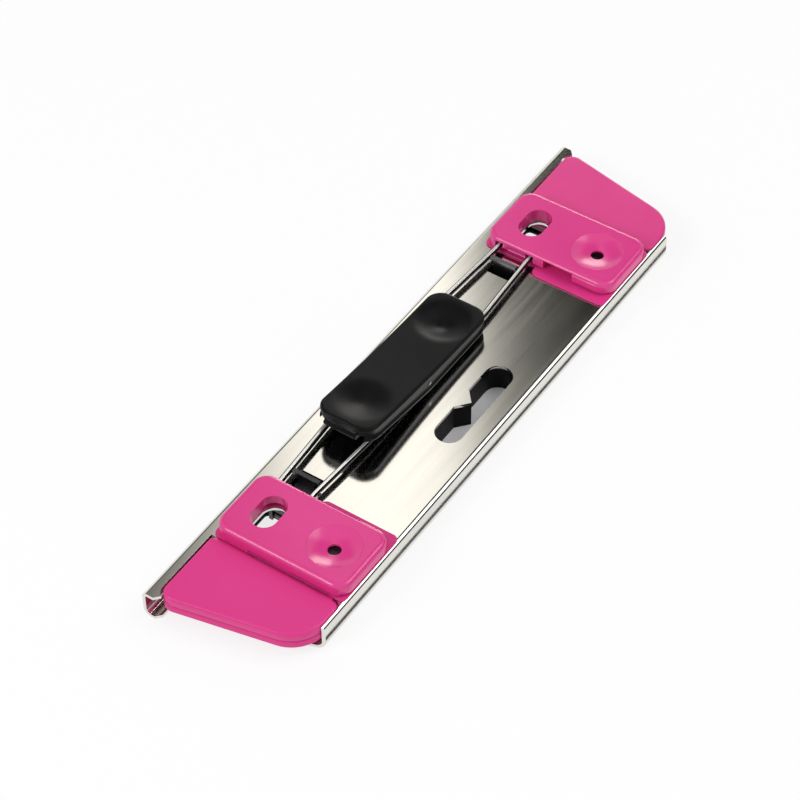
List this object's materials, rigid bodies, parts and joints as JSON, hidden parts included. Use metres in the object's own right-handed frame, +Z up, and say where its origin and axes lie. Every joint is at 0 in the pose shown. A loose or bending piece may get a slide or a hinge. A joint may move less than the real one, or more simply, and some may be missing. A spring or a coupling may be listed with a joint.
{
  "type": "hole punch",
  "caption": "Slim hole punch for a ring binder: bent steel base, two moulded punch blocks, and a steel carriage with a rocking grip that drives the punches by levers.",
  "frame": {"origin": "centre of the base's footprint, on the surface it stands on", "axes": "+X along the base from the left block to the right block, +Y from the paper's side to the rear edge, +Z up"},
  "size_m": [0.125, 0.0282, 0.0119],
  "materials": {
    "polished_steel": "polished",
    "dark_steel": "plain",
    "pink_plastic": "satin gloss",
    "black_plastic": "soft sheen"
  },
  "bodies": {
    "base": {"base_plate": "polished_steel", "bottom_cover": "black_plastic", "end_pad_left": "pink_plastic", "end_pad_right": "pink_plastic", "paper_bed_left": "pink_plastic", "paper_bed_right": "pink_plastic", "punch_block_left": "pink_plastic", "punch_block_right": "pink_plastic", "die_plate_left": "dark_steel", "die_plate_right": "dark_steel", "lever_bracket_left": "dark_steel", "lever_bracket_right": "dark_steel", "pivot_pin_left": "dark_steel", "pivot_pin_right": "dark_steel", "return_spring_left": "dark_steel", "return_spring_right": "dark_steel", "block_screw_inner_left": "dark_steel", "block_screw_inner_right": "dark_steel", "block_screw_outer_left": "dark_steel", "block_screw_outer_right": "dark_steel", "pad_rivet_left": "dark_steel", "pad_rivet_right": "dark_steel", "bracket_rivet_left": "dark_steel", "bracket_rivet_right": "dark_steel"},
    "carriage": {"front_rail": "polished_steel", "rear_rail": "polished_steel", "leg_plate_left": "polished_steel", "leg_plate_right": "polished_steel", "grip_carrier": "dark_steel", "grip_pin": "dark_steel"},
    "grip": {"grip": "black_plastic"},
    "lever_left": {"rocker_lever_left": "dark_steel"},
    "lever_right": {"rocker_lever_right": "dark_steel"},
    "punch_left": {"punch_pin_left": "dark_steel"},
    "punch_right": {"punch_pin_right": "dark_steel"}
  },
  "joints": [
    {"name": "carriage_press", "type": "slide", "parent": "base", "child": "carriage", "axis": [0, 0, -1], "range_m": [0, 0.00085], "stiffness_N_per_m": 2000, "springref_m": -0.001, "deforming": ["return_spring_left", "return_spring_right"]},
    {"name": "grip_rock", "type": "hinge", "parent": "carriage", "child": "grip", "pos_m": [-0.0021, 0.00555, 0.0078], "axis": [0, -1, 0], "range_deg": [0, 8.9]},
    {"name": "lever_left_turn", "type": "hinge", "parent": "base", "child": "lever_left", "pos_m": [-0.035, 0.00555, 0.0021], "axis": [0, 1, 0], "range_deg": [0, 8]},
    {"name": "lever_right_turn", "type": "hinge", "parent": "base", "child": "lever_right", "pos_m": [0.035, 0.00555, 0.0021], "axis": [0, -1, 0], "range_deg": [0, 8]},
    {"name": "punch_left_rise", "type": "slide", "parent": "base", "child": "punch_left", "axis": [0, 0, 1], "range_m": [0, 0.00085]},
    {"name": "punch_right_rise", "type": "slide", "parent": "base", "child": "punch_right", "axis": [0, 0, 1], "range_m": [0, 0.00085]}
  ],
  "couplings": [
    {"joint": "lever_left_turn", "follows": "carriage_press", "rad_per_m": 164},
    {"joint": "lever_right_turn", "follows": "carriage_press", "rad_per_m": 164},
    {"joint": "punch_left_rise", "follows": "carriage_press", "ratio": 1},
    {"joint": "punch_right_rise", "follows": "carriage_press", "ratio": 1}
  ]
}
